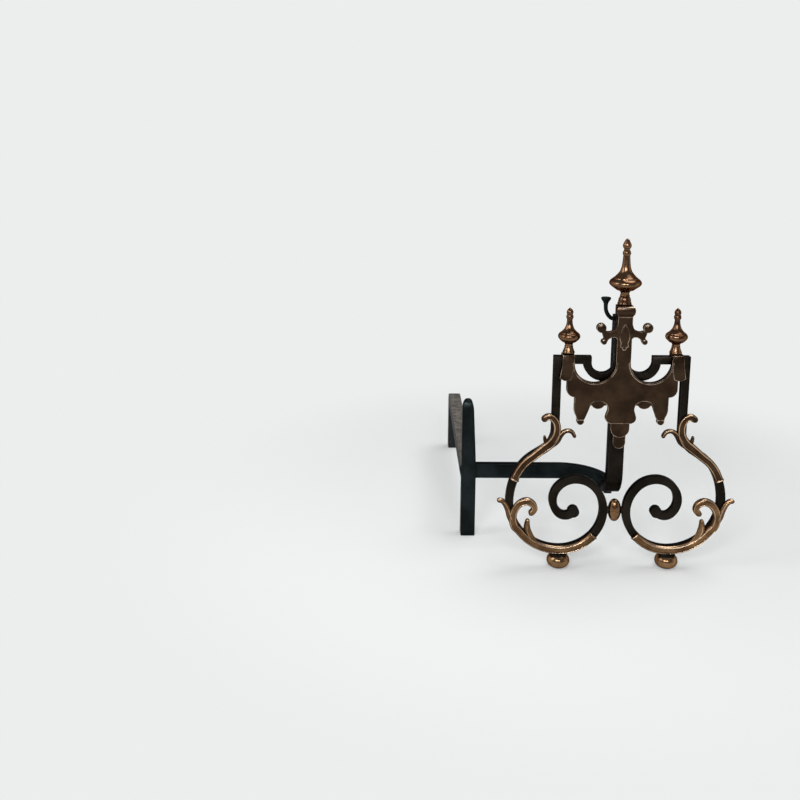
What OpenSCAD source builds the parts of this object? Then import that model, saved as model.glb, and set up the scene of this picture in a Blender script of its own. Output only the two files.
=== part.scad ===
// Fireplace andiron: wrought-iron scroll front with cast bronze leaves, crest
// plate, turned finials and bun feet, carried on an offset iron log bar.
// Front faces -Y, up is +Z, floor at Z = 0. The front's own centreline is the
// working X = 0; each piece is shifted last, so that the origin lies on the
// floor under the middle of the whole andiron.

/* [Front frame] */
// Side of the square bar that the scrolls and rails are forged from
bar = 12.7; // [11:0.1:14]
// Outer width of the upright frame
frame_w = 220.5; // [210:0.5:234]
// Height of the top rail's upper face
frame_top = 365.7; // [355:0.1:380]
// Radius of the bead that ends each scroll
scroll_eye_r = 9.5; // [8.5:0.1:11]
// Inner radius of the half ring where a rail dips to the centre
yoke_r = 18.4; // [16:0.1:20]
// How far the half ring's centre lies below the top of the rail
yoke_drop = 9.3; // [7:0.1:12]
// Height of the two risers that end the rails beside the centreline
riser_top = 446; // [440:0.5:452]

/* [Standard and arm] */
// Width of the flat standard behind the crest plate
std_w = 25.4; // [22:0.1:28]
// Thickness of the standard
std_t = 19; // [16:0.1:22]
// How far the standard's top stays below the tops of the risers
std_drop = 16; // [8:0.5:24]
// Height of the underside of the standard's foot bend
std_bottom = 115; // [105:0.5:125]
// Inside radius of the standard's foot bend
std_bend_r = 29.6; // [24:0.1:36]
// Thickness of the cross arm that leads to the log post
arm_t = 12.7; // [11:0.1:15]
// Height of the cross arm's section
arm_h = 26; // [22:0.1:30]

/* [Log support] */
// Side of the square log post and log bar
stock = 25.4; // [22:0.1:28]
// Distance from the front's centreline to the outer face of the post
post_out = 248; // [230:1:270]
// Distance from the front's centre plane to the centre of the post
post_y = 131; // [124:0.5:145]
// Height of the post's point
post_h = 254; // [235:1:280]
// Width of the post under its point
post_neck_w = 20.6; // [18:0.1:22]
// Height of the log bar's upper face
log_top = 126; // [118:0.5:132]
// Distance from the post's centre to the back of the rear leg
log_len = 486; // [400:1:560]
// Outside radius of the bend into the rear leg
log_bend_r = 20; // [10:0.5:22]

/* [Bronze] */
// Height of each bun foot
foot_h = 22.4; // [20:0.1:26]
// Largest radius of each bun foot
foot_r = 19; // [17:0.1:21]
// Thickness of the iron collar above each foot
collar_t = 3.2; // [2:0.1:5]
// Height of the tall centre finial
tall_h = 107.5; // [100:0.5:118]
// Largest radius of the tall finial
tall_r = 25.6; // [22:0.1:28]
// Height of the two side finials
side_h = 76; // [70:0.5:84]
// Largest radius of the side finials
side_r = 17.8; // [15:0.1:20]
// Distance of the side finials from the frame's outer faces
side_inset = 23.75; // [22:0.25:26]
// Half height of the oval bead between the scrolls
bead_h = 19.4; // [15:0.1:21]
// Largest radius of the oval bead
bead_r = 10.9; // [8:0.1:12]
// Thickness of the crest plate's field
plate_t = 8; // [6:0.1:10]
// Height of the leaf castings' ridge above the bar
leaf_t = 4.8; // [3.5:0.1:6]

/* [Hook] */
// Radius of the hook's round stem
hook_r = 3.2; // [2.5:0.1:4]
// Radius of the hook's flared head
hook_head_r = 8.2; // [7:0.1:9.5]
// Height of the hook's head above the top of the standard
hook_rise = 29; // [24:0.5:36]

/* [Hidden] */
$fn = 96;

IRON = "#22252a";
LOG_IRON = "#4a4a49";
BRONZE = "#8a6a48";
DARK_BRONZE = "#4f3a2b";
LEFT = -1;
RIGHT = 1;

fit = 0.1;             // clearance round studs, pins and screws
stud_r = 4;            // finial and foot studs
screw_r = 2;           // shanks of the leaf and plate screws
screw_head_r = 4;
screw_head_t = 2.4;
leaf_bite = 2.4;       // how deep a screw reaches into a leaf casting
rivet_t = 3;           // height of the rivet head on the post's outer face

// ---- the scroll bar's centreline: [radius, turn] arcs, and [length, 0] straights
frame_x = -(frame_w - bar) / 2;
loop_bottom = foot_h + collar_t + bar / 2;
scroll = [[40, -57], [20.1, 0], [71, 30], [114, 27], [85, 45], [85, 45], [74, 45], [67, 45],
          [59, 45], [43, 45], [38, 45], [35, 45], [32, 45], [17, 98]];
LOOP_BOTTOM = 6;       // state over the foot
LOOP_INNER = 8;        // state nearest the centreline

function bend_on(p, s) =
    s[1] == 0 ? [p[0] + s[0] * cos(p[2]), p[1] + s[0] * sin(p[2]), p[2]] :
    let (k = sign(s[1]), h = p[2] + s[1])
    [p[0] + k * s[0] * (sin(h) - sin(p[2])), p[1] + k * s[0] * (cos(p[2]) - cos(h)), h];
function walk(list, p, i = 0) =
    i == len(list) ? [p] : concat([p], walk(list, bend_on(p, list[i]), i + 1));
// the state a share f along segment i
function along(i, f) = f == 0 ? path[i] :
    bend_on(path[i], scroll[i][1] == 0 ? [scroll[i][0] * f, 0] : [scroll[i][0], scroll[i][1] * f]);

rough = walk(scroll, [frame_x, 0, -90]);
scroll_start = loop_bottom - rough[LOOP_BOTTOM][1];
path = walk(scroll, [frame_x, scroll_start, -90]);
foot_x = path[LOOP_BOTTOM][0];
inner_x = path[LOOP_INNER][0] + bar / 2;      // the loop's face beside the bead
bead_z = path[LOOP_INNER][1];

// ---- places worked out from the sizes above
side_x = frame_w / 2 - side_inset;
std_top = riser_top - std_drop;
field_z = frame_top - 66;                     // underside of the crest plate's field
rail_end = -(bar + 2 * yoke_r);               // inner face of the rail's end
yoke_z = frame_top - yoke_drop;
std_front = bar / 2;
bend_outer = std_bend_r + std_t;
arm_top = std_bottom + std_t;
arm_end_y = std_front + bend_outer;           // where the arm meets the standard's foot
arm_r = post_y - arm_end_y;
post_in = post_out - stock;
plate_y = bar / 2;                            // back of the plate, measured forward
flange_t = 3.5;
side_base = frame_top + flange_t;
tall_base = riser_top + flange_t;

// the leaves are set out from where the bar starts to bend
lower_tip = [-89.1, -121];                    // centre of the outer leaf tip's round end
lower_tip_w = 8;
leaf_reach = -frame_x - lower_tip[0] + lower_tip_w / 2;

org_x = (post_out + rivet_t - leaf_reach) / 2;
org_y = -(post_y + log_len - tall_r) / 2;

module placed() translate([org_x, org_y, 0]) children();
module forged() color(IRON) placed() children();
module cast() color(BRONZE) placed() children();
// draws the left-hand piece, or its mirror image
module on_side(side) if (side == LEFT) children(); else mirror([1, 0, 0]) children();
// a flat drawing in X and Z, given a depth d that starts at y and runs back
module upright(y, d) translate([0, y + d, 0]) rotate([90, 0, 0]) linear_extrude(d) children();
// a round hole or shank along Y, from y0 back to y1
module along_y(x, z, r, y0, y1) translate([x, y1, z]) rotate([90, 0, 0]) cylinder(r = r, h = y1 - y0);
module along_x(y, z, r, x0, x1) translate([x0, y, z]) rotate([0, 90, 0]) cylinder(r = r, h = x1 - x0);

// ---- scroll bars -------------------------------------------------------------
// stations along the centreline, every few degrees on the arcs
STEP = 4;
stations = concat([[frame_x, frame_top, -90]],
    [for (i = [0:len(scroll) - 1]) let (n = max(ceil(abs(scroll[i][1]) / STEP), 1))
        for (k = [0:n - 1]) along(i, k / n)],
    [path[len(scroll)]]);
// the bar's edge on one side of the centreline, w away from it
function edge(p, w) = [p[0] - w * sin(p[2]), p[1] + w * cos(p[2])];

// where the screws of the leaves pass through the scroll bar
leaf_holes = [[frame_x, scroll_start + 4], [along(2, 0.6)[0], along(2, 0.6)[1]],
              [along(4, 0.95)[0], along(4, 0.95)[1]], [along(6, 0.55)[0], along(6, 0.55)[1]]];

module scroll_bar(side)
    forged() on_side(side) difference() {
        union() {
            upright(-bar / 2, bar) polygon(concat([for (p = stations) edge(p, bar / 2)],
                [for (i = [len(stations) - 1:-1:0]) edge(stations[i], -bar / 2)]));
            along_y(path[len(scroll)][0], path[len(scroll)][1], scroll_eye_r, -bar / 2, bar / 2);
        }
        translate([foot_x, 0, 0]) cylinder(r = stud_r + fit, h = loop_bottom + bar);
        along_x(0, bead_z, pin_r + fit, inner_x - 2 * bar, inner_x + bar);
        for (h = leaf_holes) along_y(h[0], h[1], screw_r + fit, -bar, bar);
    }

// top rail, half ring and riser, forged from one bar
module yoke_bar(side)
    forged() on_side(side) difference() {
        union() {
            translate([frame_x + bar / 2, -bar / 2, frame_top - bar])
                cube([rail_end - frame_x - bar / 2, bar, bar]);
            translate([-(bar + yoke_r), 0, yoke_z]) rotate([90, 0, 0]) rotate([0, 0, 180])
                rotate_extrude(angle = 180) translate([yoke_r, -bar / 2]) square(bar);
            translate([rail_end - bar, -bar / 2, yoke_z]) cube([bar, bar, frame_top - yoke_z]);
            translate([-bar, -bar / 2, yoke_z]) cube([bar, bar, riser_top - yoke_z]);
        }
        translate([-side_x, 0, 0]) cylinder(r = stud_r + fit, h = frame_top + bar);
        translate([0, 0, riser_top - tall_stud_l]) cylinder(r = stud_r + fit, h = tall_stud_l + bar);
    }

// ---- standard, arm and log support -------------------------------------------
plate_screw_z = [yoke_z - yoke_r - bar - 12, field_z - 37.7];   // the two screws behind the plate
hook_z = std_top - 6;
hook_y = std_front + std_t / 2;
hook_seat = 9;

// runs down behind the plate and bends back at its foot
module standard()
    forged() difference() {
        union() {
            translate([-std_w / 2, std_front, std_bottom + bend_outer])
                cube([std_w, std_t, std_top - std_bottom - bend_outer]);
            translate([-std_w / 2, std_front + bend_outer, std_bottom + bend_outer])
                rotate([90, 0, 90]) rotate([0, 0, 180])
                    rotate_extrude(angle = 90) translate([std_bend_r, 0]) square([std_t, std_w]);
        }
        for (z = plate_screw_z) along_y(0, z, screw_r + fit, 0, std_front + std_t + bar);
        along_x(hook_y, hook_z, hook_r + fit, -std_w, -std_w / 2 + hook_seat);
    }

arm_z = arm_top - arm_h;
tenon_r = 5.5;

// flat bar on edge: leaves the standard's foot, turns sideways and runs to the post
module cross_arm()
    forged() union() {
        translate([-arm_r, arm_end_y, arm_z]) rotate_extrude(angle = 90)
            translate([arm_r - arm_t / 2, 0]) square([arm_t, arm_h]);
        translate([-post_in, post_y - arm_t / 2, arm_z]) cube([post_in - arm_r, arm_t, arm_h]);
        along_x(post_y, arm_z + arm_h / 2, tenon_r, -post_out, -post_in);
    }

// the arm's round tenon is headed over on the far side of the post
module arm_rivet()
    forged() translate([-post_out, post_y, arm_z + arm_h / 2]) rotate([0, -90, 0])
        rotate_extrude() intersection() {
            square([tenon_r + rivet_t, rivet_t]);
            translate([0, rivet_t - rivet_crown_r]) circle(rivet_crown_r);
        }
rivet_crown_r = ((tenon_r + rivet_t) * (tenon_r + rivet_t) + rivet_t * rivet_t) / (2 * rivet_t);

post_point = 22;       // height of the post's rounded point

// square leg that tapers above the arm to a rounded point and stops the logs
module log_post()
    forged() difference() {
        intersection() {
            upright(post_y - stock, 2 * stock) post_outline(-post_out, 0);
            translate([-post_out - stock, 0, 0]) rotate([90, 0, 90]) linear_extrude(3 * stock)
                post_outline(post_y - stock / 2, (stock - post_neck_w) / 2);
        }
        along_x(post_y, arm_z + arm_h / 2, tenon_r + fit, -post_out - bar, bar);
    }

// x0 is the lower left corner; inset is how far the left side leans in at the neck
module post_outline(x0, inset) {
    neck = post_h - post_point;
    c = x0 + inset + post_neck_w / 2;
    polygon(concat([[x0, 0], [x0 + stock, 0], [x0 + stock, arm_top]],
        [for (a = [0:10:180]) [c + post_neck_w / 2 * sign(cos(a)) * pow(abs(cos(a)), 0.8),
                               neck + post_point * pow(sin(a), 1.1)]],
        [[x0, arm_top]]));
}

// square bar that runs straight back from the post and bends down into the rear leg
module log_bar()
    color(LOG_IRON) placed() translate([-post_out, 0, 0]) rotate([90, 0, 90]) linear_extrude(stock) {
        y0 = post_y + stock / 2;
        y1 = post_y + log_len;
        difference() {
            translate([y0, 0]) square([y1 - y0, log_top]);
            translate([y0 - 1, -1]) square([y1 - stock - y0 + 1, log_top - stock + 1]);
            translate([y1 - log_bend_r, log_top - log_bend_r]) difference() {
                square(log_bend_r + 1);
                circle(log_bend_r);
            }
        }
    }

// ---- turned pieces -------------------------------------------------------------
// a Catmull-Rom curve through the points of one moulding
function curve(p, n = 4) = [for (i = [0:len(p) - 2], k = [0:n - 1])
    let (t = k / n, a = p[max(i - 1, 0)], b = p[i], c = p[i + 1], d = p[min(i + 2, len(p) - 1)])
    b + 0.5 * t * (c - a) + t * t * (a - 2.5 * b + 2 * c - 0.5 * d) + t * t * t * 0.5 * (3 * b - a - 3 * c + d)];
function smooth(p, n = 4) = concat(curve(p, n), [p[len(p) - 1]]);
function join(lists) = [for (l = lists) for (p = l) p];

// mouldings are lists of [height, radius]; sharp arrises lie between them
module turned(mouldings, k_h, k_r) {
    outline = join([for (m = mouldings) smooth(m)]);
    top = outline[len(outline) - 1][0] * k_h;
    rotate_extrude() polygon(concat([[0, 0]], [for (p = outline) [p[1] * k_r, p[0] * k_h]], [[0, top]]));
}

TALL = [[[0, 10.4], [1.6, 11.2], [3.8, 11], [5.4, 10.2]],
        [[5.8, 10.2], [9, 9.9], [12.6, 9], [15.4, 7.4]],
        [[15.6, 7.2], [16.8, 7.9], [18.2, 7.3]],
        [[18.6, 6.9], [21.5, 7.2], [24.2, 8.8], [26, 12.6]],
        [[26.4, 14], [30.5, 19.1], [34, 23.4], [37.6, 25.6], [41.2, 25], [44, 22.9], [45.8, 20.8]],
        [[46.2, 19.6], [47.4, 19.2]],
        [[47.6, 18.4], [50.6, 15.6], [57, 10.6], [63.5, 8], [70, 6.8], [78, 6], [84.6, 5.6]],
        [[85, 5.2], [87.4, 6.2], [89.6, 6.6], [91.8, 6.2], [94, 5.2]],
        [[94.4, 4.8], [96, 4.7], [97.6, 4.9]],
        [[98, 5.4], [100, 6.5], [102.6, 6.9], [105.4, 6.3], [109, 4.7], [112.5, 2.9], [115, 0.01]]];
SIDE = [[[0, 9.2], [1.4, 9.9], [3.4, 9.8], [5, 9]],
        [[5.4, 8.8], [8, 8], [10.8, 6.8]],
        [[11.2, 6.7], [12.4, 7.2], [13.8, 6.6]],
        [[14.2, 6.2], [16.8, 6.6], [18.8, 8], [20, 10]],
        [[20.4, 11.2], [23.8, 14.8], [27, 17.2], [30, 17.8], [33, 17], [34.8, 15.5]],
        [[35.2, 14.5], [36.2, 14.1]],
        [[36.4, 13.4], [39.5, 10.4], [43.6, 7.5], [50.2, 5.2], [57, 4.4]],
        [[57.4, 4.1], [60.4, 5.4], [63.2, 5.9], [66, 4.9]],
        [[66.4, 4.4], [68.6, 5.2], [71.6, 5.3], [75, 3.6], [78.5, 0.01]]];
FOOT = [[[0, 9], [1.2, 12.4], [4.6, 16.6], [9.4, 18.9], [12.4, 19], [16.6, 18], [20, 15.6], [22.4, 12.8]]];
TALL_H = 115;
TALL_R = 25.6;
SIDE_H = 78.5;
SIDE_R = 17.8;
FOOT_H = 22.4;
FOOT_R = 19;
tall_stud_l = 24;      // how far the tall finial's stud reaches down between the risers
stud_in = 10;          // how far a stud reaches into a finial

module tall_finial()
    cast() translate([0, 0, tall_base]) difference() {
        turned(TALL, tall_h / TALL_H, tall_r / TALL_R);
        translate([0, 0, -1]) cylinder(r = stud_r + fit, h = stud_in + fit + 1);
    }
module tall_finial_stud()
    forged() translate([0, 0, riser_top - tall_stud_l]) cylinder(r = stud_r, h = tall_stud_l + flange_t + stud_in);
module side_finial(side)
    cast() on_side(side) translate([-side_x, 0, side_base]) difference() {
        turned(SIDE, side_h / SIDE_H, side_r / SIDE_R);
        translate([0, 0, -1]) cylinder(r = stud_r + fit, h = stud_in + fit + 1);
    }
module side_finial_studs()
    forged() for (side = [LEFT, RIGHT]) translate([side * side_x, 0, frame_top - bar])
        cylinder(r = stud_r, h = bar + flange_t + stud_in);

module foot(side)
    cast() on_side(side) translate([foot_x, 0, 0]) difference() {
        turned(FOOT, foot_h / FOOT_H, foot_r / FOOT_R);
        translate([0, 0, foot_h - stud_in - fit]) cylinder(r = stud_r + fit, h = stud_in + bar);
    }
module foot_collars()
    forged() for (side = [LEFT, RIGHT]) translate([side * foot_x, 0, foot_h]) difference() {
        cylinder(r = foot_r - 4.5, h = collar_t);
        translate([0, 0, -1]) cylinder(r = stud_r + fit, h = collar_t + 2);
    }
module foot_studs()
    forged() for (side = [LEFT, RIGHT]) translate([side * foot_x, 0, foot_h - stud_in])
        cylinder(r = stud_r, h = stud_in + collar_t + bar);

// ---- oval bead pinned between the loops -----------------------------------------
pin_r = 3;
pin_collar_r = 6.2;
seam_r = 0.7;          // groove round the middle of the bead

module centre_bead()
    cast() translate([0, 0, bead_z]) difference() {
        rotate_extrude() difference() {
            polygon([for (a = [-90:5:90]) [max(bead_r * pow(cos(a), 0.9), 0), bead_h * sin(a)]]);
            translate([bead_r + seam_r / 3, 0]) circle(seam_r);
        }
        along_x(0, 0, pin_r + fit, -2 * bead_r, 2 * bead_r);
    }
module bead_pin()
    forged() union() {
        along_x(0, bead_z, pin_r, inner_x - bar, -inner_x + bar);
        for (side = [LEFT, RIGHT]) on_side(side) along_x(0, bead_z, pin_collar_r, inner_x, -bead_r);
    }

// ---- hook at the back of the top --------------------------------------------------
// a closed solid through rings of points, one after another
module loft(rings) {
    k = len(rings[0]);
    m = len(rings) - 1;
    polyhedron(join(rings), join([
        [for (i = [0:m - 1], j = [0:k - 1]) [i * k + j, (i + 1) * k + j, i * k + (j + 1) % k]],
        [for (i = [0:m - 1], j = [0:k - 1]) [(i + 1) * k + j, (i + 1) * k + (j + 1) % k, i * k + (j + 1) % k]],
        [[for (j = [0:k - 1]) j], [for (j = [k - 1:-1:0]) m * k + j]]]));
}

hook_bends = [[7, 40], [23, 50]];   // [radius, turn] of the stem, outwards from the standard
// [height from the top, share of hook_head_r]
HOOK_HEAD = [[-10.4, 0.44], [-7.6, 0.58], [-5, 0.8], [-3, 0.94], [-1.3, 1], [0, 0.87]];
hook_path = walk(hook_bends, [std_w / 2 + 1, hook_z, 0]);
// [x outwards, z, heading, radius] along the stem and up through the flared head
hook_stations = concat(
    [for (i = [0, 1], f = [0:0.2:0.9]) let (b = hook_bends[i], p = hook_path[i])
        concat(f == 0 ? p : bend_on(p, [b[0], b[1] * f]), [hook_r + fit])],
    [concat(hook_path[2], [hook_r + fit])],
    [for (h = HOOK_HEAD) [hook_path[2][0], std_top + hook_rise + h[0], 90, h[1] * hook_head_r]]);
function hook_ring(p) = [for (a = [0:18:342])
    [-p[0] + p[3] * cos(a) * sin(p[2]), hook_y + p[3] * sin(a), p[1] + p[3] * cos(a) * cos(p[2])]];

module tool_hook()
    forged() union() {
        along_x(hook_y, hook_z, hook_r, -std_w / 2 - 1, -std_w / 2 + hook_seat - fit);
        loft([for (p = hook_stations) hook_ring(p)]);
    }

// ---- crest plate ---------------------------------------------------------------------
// Right-hand outlines, mirrored by pair(), with heights given from the field's underside.
field_w = side_x + 3;                  // half width of the field
corner_r = 13;
stem_w = 23.6;
strap_w = 19.2;                         // width of the straps under the side finials
strap_t = 0.8;                         // how far straps, stem leaf and tips differ in height
strap_x = side_x + 1.3;                // middle of a strap
strap_in = strap_x - strap_w / 2;
scoop_r = (strap_in - stem_w / 2) / 2 + 0.1;   // scoops in the upper edge
scoop = [(strap_in + stem_w / 2) / 2, yoke_z + 0.9];
bead_w = 2.6;                          // raised bead along the scoops
pendant_x = field_w - 26.5;            // middle of a side pendant
pendant_tip_r = 6;
shield_w = 24.8;                       // half width of the middle pendant's ears
scallop_x = (pendant_x - 13 + shield_w) / 2;
tier_r = [15.2, 10.2];                 // lobes that hang below the middle pendant
tier_drop = [53.2, 77.7];
tier_back = [2.2, 4.4];                // how far they are set back

module pair() { children(); mirror([1, 0]) children(); }

SIDE_PENDANT = join([[[13.1, 3], [13.1, -20]], smooth([[13.1, -22.4], [11.6, -28.6], [9, -33.9], [7.9, -38.6]]),
                     smooth([[-3.4, -38.6], [-5.7, -33.8], [-8.1, -27.1], [-11, -19.6], [-13.4, -12.6]]),
                     [[-13.8, 3]]]);
MIDDLE_PENDANT = join([[[0, 3], [shield_w - 1, 3]], smooth([[shield_w - 1.2, -11.4], [shield_w - 3.6, -20.4],
                       [shield_w - 0.8, -30], [shield_w, -36], [shield_w - 2.2, -41], [17.4, -44.2]]), [[0, -44.2]]]);
// from the middle of the strap's top
STRAP = [[0.3 - strap_w / 2, 0], [strap_w / 2, 0], [strap_w / 2 + 0.8, -18], [strap_w / 2 + 4.1, -37.4],
         [strap_w / 2 + 3.2, -38.6], [strap_w / 2 - 0.4, -40.6], [strap_w / 2 - 4, -42.2],
         [strap_w / 2 - 8.6, -41.4], [5 - strap_w / 2, -39.6], [2.6 - strap_w / 2, -28], [0.3 - strap_w / 2, -16]];

// half of the field with the pendants that hang from it
module field_outline()
    difference() {
        union() {
            translate([0, field_z]) square([field_w - corner_r, corner_r + 1]);
            translate([field_w - corner_r, field_z + corner_r]) circle(corner_r);
            translate([0, field_z + corner_r]) square([field_w, 18]);
            translate([0, field_z + corner_r]) square([strap_in + 5, scoop[1] - field_z - corner_r]);
            translate([pendant_x, field_z]) polygon(SIDE_PENDANT);
            translate([0, field_z]) polygon(MIDDLE_PENDANT);
            // arch between the pendants
            difference() {
                translate([0, field_z - 11.6]) square([pendant_x, 16]);
                translate([scallop_x, field_z - 25.2]) circle(19);
            }
        }
        translate(scoop) circle(scoop_r);
    }
module stem_outline() {
    translate([0, field_z]) square([stem_w / 2, cap_z - field_z + 1]);
    scroll_arm_outline();
}

// strap over the corner of the frame that carries a side finial
module strap_outline() translate([strap_x, side_base]) polygon(STRAP);

// little forked scroll at the side of the stem, set out from the cap
ball = [37.4, -17.8];
ball_r = 7.7;
bud = [32.6, -40.4];
bud_r = 4.5;
ARM_TOP = [[stem_w / 2 - 0.2, -9], [12.8, -15], [15.4, -19.8], [20, -22.6], [25.6, -23.8], [31, -22.6], [36, -25]];
ARM_UNDER = [[34.6, -29.6], [32.8, -34.5], [36.2, -39.4], [28.6, -42], [25.8, -36.4], [20, -33],
             [15, -32.6], [stem_w / 2, -35.4], [0, -36]];
module scroll_arm_outline()
    translate([0, cap_z]) {
        translate(ball) circle(ball_r);
        translate(bud) circle(bud_r);
        polygon(concat([[0, -9]], smooth(ARM_TOP, 3), ARM_UNDER));
    }

// a dome t high on the plate's front, r wide
module dome(at, r, t) {
    crown = (r * r + t * t) / (2 * t);
    translate([at[0], -plate_y - plate_t, at[1]]) rotate([90, 0, 0]) rotate_extrude() intersection() {
        translate([0, -1]) square([r, t + 1]);
        translate([0, t - crown]) circle(crown);
    }
}

// the cap is one moulding, run round its front and both ends: [height, projection]
cap_h = 17.5;
cap_z = riser_top + flange_t - cap_h;
CAP = smooth([[0, -0.3], [2.6, 0.5], [5.4, 2.3], [9, 3.1], [13, 2.9], [16, 1.9], [cap_h, 0.5]], 3);
module cap_run(reach) polygon(concat([[0, 0]], [for (p = CAP) [reach + p[1], p[0]]], [[0, cap_h]]));
module cap()
    intersection() {
        upright(-2 * bar, 2 * bar) translate([0, cap_z]) pair() cap_run(stem_w / 2);
        translate([-stem_w, -plate_y, cap_z]) rotate([90, 0, 90]) linear_extrude(2 * stem_w)
            mirror([1, 0]) cap_run(plate_t + strap_t);
    }

// leaf that lies down the stem between the arms
STEM_LEAF = [[0, -11], [2.6, -15], [5.6, -21], [7.6, -28], [7.6, -35], [5.6, -41.6], [5.8, -46.6]];
module stem_leaf_outline()
    translate([0, cap_z]) pair() {
        polygon(concat(smooth(STEM_LEAF, 3), [[0, -50]]));
        translate([3.9, -46.4]) circle(2.6);
        translate([0, -50.4]) circle(3);
    }

// a flat piece of the plate, its front set back from the field's by that much
module layer(back, root = 0) upright(-plate_y - plate_t + back, plate_t - back - root) children();

module crest_plate()
    color(DARK_BRONZE) placed() difference() {
        union() {
            layer(0) pair() {
                field_outline();
                strap_outline();
                stem_outline();
            }
            layer(tier_back[0]) pair() translate([scallop_x, field_z]) {
                translate([0, -8.1]) circle(12.2);
                pair() translate([11.6, -11]) circle(3.7);
            }
            layer(strap_t) pair() translate([pendant_x + 2.2, field_z - 40.8]) circle(pendant_tip_r);
            for (i = [0, 1]) layer(tier_back[i]) {
                translate([0, field_z - tier_drop[i]]) circle(tier_r[i]);
                translate([-tier_r[i], field_z - tier_drop[i]]) square([2 * tier_r[i], 14]);
            }
            layer(-strap_t, 2) {
                pair() strap_outline();
                stem_leaf_outline();
            }
            layer(-1.1, 2) pair() intersection() {
                translate([0, field_z]) square([side_x, scoop[1] - field_z]);
                translate(scoop) difference() {
                    circle(scoop_r + bead_w);
                    circle(scoop_r);
                }
            }
            for (side = [LEFT, RIGHT]) on_side(side) {
                dome([-ball[0], cap_z + ball[1]], ball_r - 0.6, 2.4);
                dome([-bud[0], cap_z + bud[1]], bud_r - 0.5, 1.4);
            }
            cap();
            // ledges that lie over the bars and take the finials' studs
            translate([-bar, -plate_y - 1, riser_top]) cube([2 * bar, bar + 1, flange_t]);
            for (side = [LEFT, RIGHT]) on_side(side)
                translate([-strap_in - strap_w, -plate_y - 1, frame_top]) cube([strap_w, bar + 1, flange_t]);
            // bosses that stand between the plate and the standard
            for (z = plate_screw_z) along_y(0, z, 6.5, -plate_y - 1, std_front);
        }
        for (x = [-side_x, 0, side_x]) translate([x, 0, frame_top - bar])
            cylinder(r = stud_r + fit, h = tall_base + tall_h);
        for (z = plate_screw_z) along_y(0, z, screw_r + fit, -plate_y - 3 - fit, std_front + 1);
    }

module screw(x, z, y0, y1) {
    along_y(x, z, screw_r, y0, y1 + 0.5);
    translate([x, y1, z]) rotate([-90, 0, 0]) rotate_extrude() intersection() {
        square([screw_head_r, screw_head_t]);
        translate([0, screw_head_t - screw_crown_r]) circle(screw_crown_r);
    }
}
screw_crown_r = (screw_head_r * screw_head_r + screw_head_t * screw_head_t) / (2 * screw_head_t);
module plate_screws()
    forged() for (z = plate_screw_z) screw(0, z, -plate_y - 3, std_front + std_t);
module leaf_screws()
    forged() for (side = [LEFT, RIGHT]) on_side(side)
        for (h = leaf_holes) screw(h[0], h[1], -bar / 2 - leaf_bite, bar / 2);

// ---- leaf castings --------------------------------------------------------------------
// A leaf is made of ribs. A rib is a list of [x, z, width, ridge, root]: the casting runs
// along the points with a ridged section, ridge high in front of the bar's face and
// root deep behind it, and ends in a round tip.
SECTION = [[-1, 0], [-1, 0.3], [-0.84, 0.66], [-0.5, 0.92], [-0.14, 1], [0.14, 1],
           [0.5, 0.92], [0.84, 0.66], [1, 0.3], [1, 0]];
function rib_ring(p, d) = let (u = d / norm(d)) [for (s = SECTION)
    [p[0] - u[1] * s[0] * p[2] / 2, -bar / 2 - (s[1] == 0 ? -p[4] : s[1] * p[3]),
     p[1] + u[0] * s[0] * p[2] / 2]];
function heading(p, i) = let (a = p[max(i - 1, 0)], b = p[min(i + 1, len(p) - 1)]) [b[0] - a[0], b[1] - a[1]];
// rings that round off the end, each narrower and lower than the last
function tip_rings(p, d) = let (u = d / norm(d)) [for (a = [35, 62, 80])
    rib_ring([p[0] + u[0] * sin(a) * p[2] / 2, p[1] + u[1] * sin(a) * p[2] / 2, p[2] * cos(a),
              p[3] * (0.45 + 0.55 * cos(a)), p[4] * (0.3 + 0.7 * cos(a))], d)];
function rib_rings(list, n = 3) = let (p = smooth(list, n), last = len(p) - 1)
    concat([for (i = [0:last]) rib_ring(p[i], heading(p, i))], tip_rings(p[last], heading(p, last)));
module rib(list) loft(rib_rings(list));
let_in = 0.12;                 // how far a small rib runs into the main one
// the outline of a rib as seen from the front, right through the casting
module rib_outline(list) {
    rings = rib_rings([for (p = list) [p[0], p[1], p[2] - 2 * let_in, p[3], p[4]]]);
    m = len(rings) - 1;
    upright(-2 * bar, 4 * bar) polygon(concat([for (r = rings) [r[0][0], r[0][2]]],
        [for (i = [m:-1:0]) let (q = rings[i][len(SECTION) - 1]) [q[0], q[2]]]));
}
// the part of a casting that follows the scroll bar, from [segment, share] to another
function bar_rib(stops, w, h) = [for (s = stops) let (p = along(s[0], s[1])) [p[0], p[1], w, h, 0]];

// [x, z, width, ridge as a share of leaf_t, root], set out from where the bar starts to bend
UPPER_CURL = [[-17.6, -29.9, 15.4, 1, 0], [-7.7, -21.9, 16.4, 1, 0], [-0.5, -11.5, 15, 1, 0],
              [2.3, 0.5, 13.4, 1, 0], [1, 12, 12.4, 1, 0], [-4.9, 21.3, 11.6, 1, 1],
              [-12.3, 23.9, 11.2, 1, 2], [-18.3, 20.3, 11, 1, 3]];
UPPER_LEAFLET = [[-17.1, -31.9, 6, 0.5, -0.8], [-6.7, -26.1, 8.6, 0.66, -0.8], [1.9, -18.1, 11, 0.8, -0.8],
                 [7.3, -8.9, 10, 0.86, -0.8], [13.5, -2.1, 8, 0.86, 0.5], [20.9, 0.1, 7, 0.86, 2],
                 [27.5, -2.7, 6.6, 0.84, 3], [31.1, -8.9, 6, 0.8, 3]];
UPPER_BUD = [[-8.1, -27.9, 5, 0.5, -1.2], [-13.5, -22.1, 7.4, 0.76, -0.6], [-16.5, -16.1, 6.2, 0.8, 1],
             [-17.5, -10.1, 4.4, 0.76, 1]];
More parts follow.
